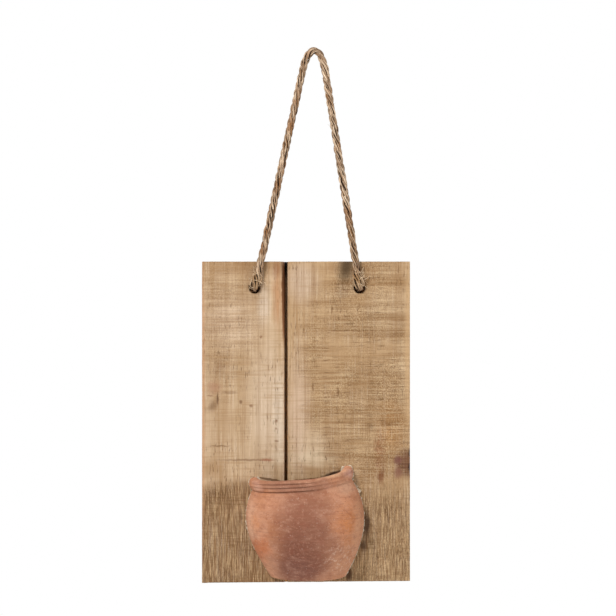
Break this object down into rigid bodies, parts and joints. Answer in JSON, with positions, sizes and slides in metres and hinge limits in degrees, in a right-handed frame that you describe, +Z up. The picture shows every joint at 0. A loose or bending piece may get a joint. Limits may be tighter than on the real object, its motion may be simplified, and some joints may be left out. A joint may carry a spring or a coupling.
{
  "type": "wall planter",
  "caption": "Hanging wall planter: an open-backed half clay pot with a rolled lip, bonded to a rough-sawn plank board that hangs from a wall hook by a loop of twisted rope.",
  "frame": {"origin": "middle of the upper batten's rear face, where the planter lies on the wall", "axes": "+Y into the wall, +Z up, +X to the right of a person facing the planter; the pot is on the -Y side"},
  "size_m": [0.208, 0.1009, 0.5395],
  "materials": {
    "left_plank_wood": "rough-sawn, weathered",
    "right_plank_wood": "rough-sawn, weathered",
    "batten_wood": "sawn",
    "screw_steel": "zinc plated",
    "terracotta": "unglazed, smoke-stained",
    "mortar": "matt",
    "jute_rope": "twisted fibre"
  },
  "bodies": {
    "planter": {"left_plank": "left_plank_wood", "right_plank": "right_plank_wood", "upper_batten": "batten_wood", "lower_batten": "batten_wood", "upper_batten_screws": "screw_steel", "lower_batten_screws": "screw_steel", "half_pot": "terracotta", "mortar_bead": "mortar", "left_rope_end": "jute_rope", "right_rope_end": "jute_rope", "left_knot": "jute_rope", "right_knot": "jute_rope"},
    "rope": {"rope_loop": "jute_rope"}
  },
  "joints": [
    {"name": "rope_fold", "type": "hinge", "parent": "planter", "child": "rope", "pos_m": [0, -0.0463, 0.0557], "axis": [1, 0, 0], "range_deg": [0, 165]}
  ]
}
